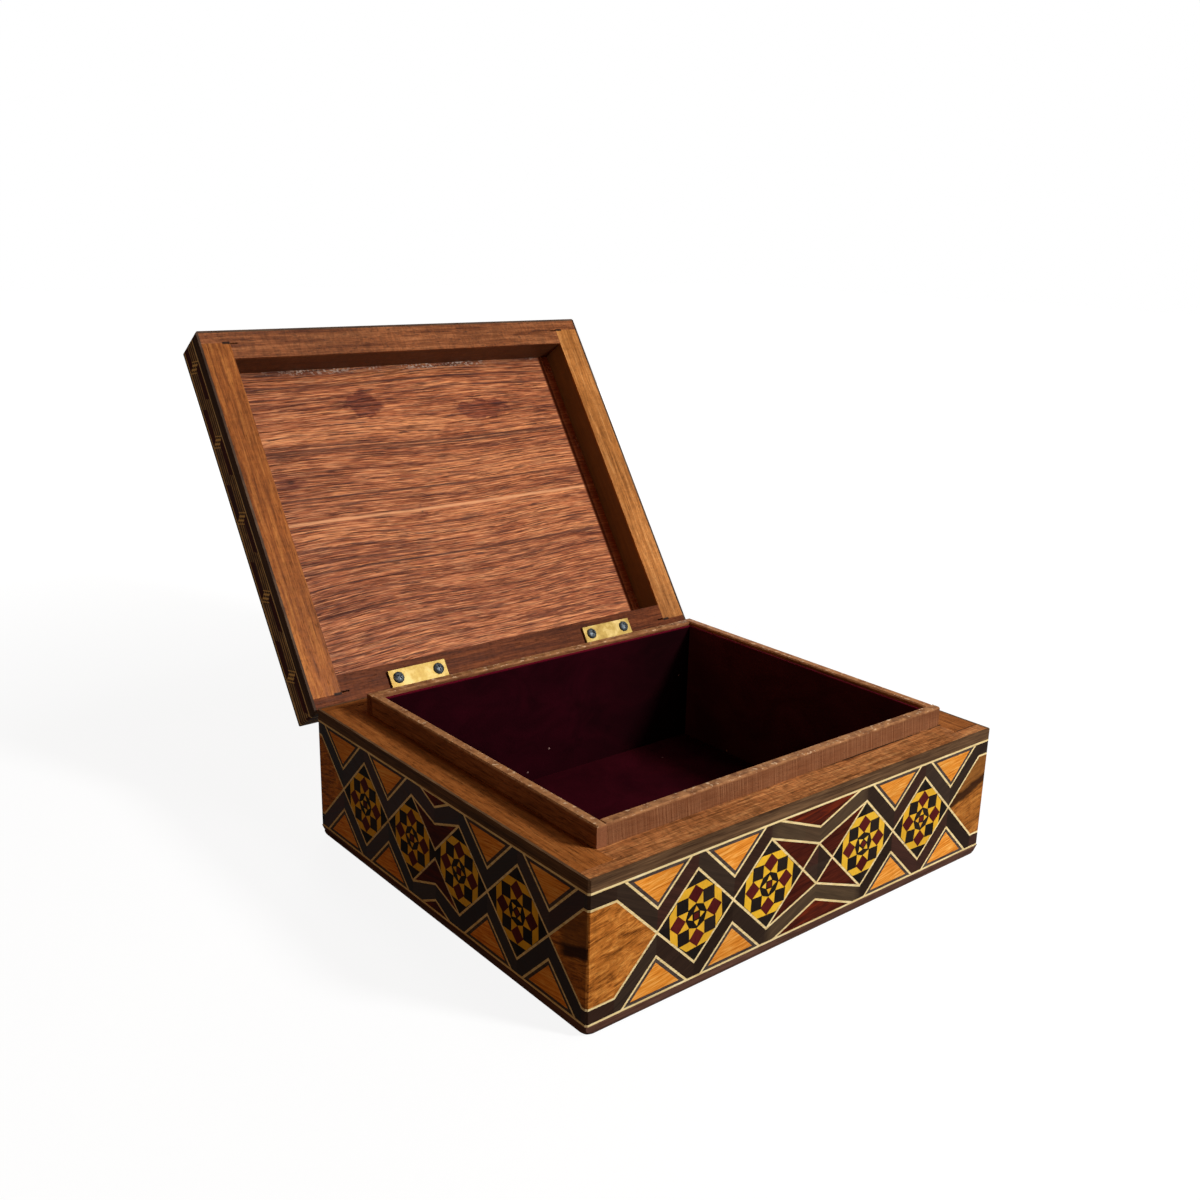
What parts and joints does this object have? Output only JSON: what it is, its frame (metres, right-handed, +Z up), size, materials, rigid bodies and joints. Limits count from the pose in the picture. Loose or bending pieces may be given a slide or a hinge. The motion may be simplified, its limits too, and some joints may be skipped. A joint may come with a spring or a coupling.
{
  "type": "mosaic box",
  "caption": "Rectangular wooden keepsake box with a hinged lid, geometric marquetry skin, raised inner lip and velvet lining.",
  "frame": {"origin": "centre of the underside of the base, on the surface that the box stands on", "axes": "+X along the front to the right, +Y from the front to the hinges at the back, +Z up"},
  "size_m": [0.2, 0.2829, 0.1911],
  "materials": {
    "walnut": "satin lacquer",
    "panel_wood": "matt, open grain",
    "dark_wood": "gloss lacquer",
    "cream_wood": "gloss lacquer",
    "orange_wood": "gloss lacquer",
    "red_wood": "gloss lacquer",
    "figured_walnut": "gloss lacquer",
    "star_mosaic": "gloss lacquer",
    "hatched_wood": "gloss lacquer",
    "velvet": "short pile",
    "brass": "polished, lightly scratched",
    "screw_steel": "blackened"
  },
  "bodies": {
    "base": {"front_wall": "walnut", "back_wall": "walnut", "left_wall": "walnut", "right_wall": "walnut", "bottom_board": "walnut", "front_lip": "walnut", "back_lip": "walnut", "left_lip": "walnut", "right_lip": "walnut", "front_bands": "dark_wood", "back_bands": "dark_wood", "left_bands": "dark_wood", "right_bands": "dark_wood", "triangle_edgings": "dark_wood", "rim_edging": "dark_wood", "foot_edging": "dark_wood", "front_stringing": "cream_wood", "back_stringing": "cream_wood", "left_stringing": "cream_wood", "right_stringing": "cream_wood", "orange_triangles": "orange_wood", "red_pieces": "red_wood", "end_panels": "figured_walnut", "star_tiles": "star_mosaic", "front_velvet": "velvet", "back_velvet": "velvet", "left_velvet": "velvet", "right_velvet": "velvet", "floor_velvet": "velvet", "left_hinge_base_leaf": "brass", "right_hinge_base_leaf": "brass", "left_hinge_pin": "brass", "right_hinge_pin": "brass"},
    "lid": {"lid_front_rail": "walnut", "lid_back_rail": "walnut", "lid_left_rail": "walnut", "lid_right_rail": "walnut", "lid_panel": "panel_wood", "lid_foot_edging": "dark_wood", "lid_crown_edging": "dark_wood", "lid_top_bands": "dark_wood", "lid_edge_stringing": "cream_wood", "lid_top_stringing": "cream_wood", "lid_top_triangles": "orange_wood", "lid_edge_blocks": "red_wood", "lid_top_diamonds": "red_wood", "lid_top_border": "figured_walnut", "lid_top_stars": "star_mosaic", "lid_edge_ribbon": "hatched_wood", "left_hinge_lid_leaf": "brass", "right_hinge_lid_leaf": "brass", "lid_hinge_screws": "screw_steel"}
  },
  "joints": [
    {"name": "lid_hinge", "type": "hinge", "parent": "base", "child": "lid", "pos_m": [0, 0.085, 0.05175], "axis": [1, 0, 0], "range_deg": [0, 124.3]}
  ]
}
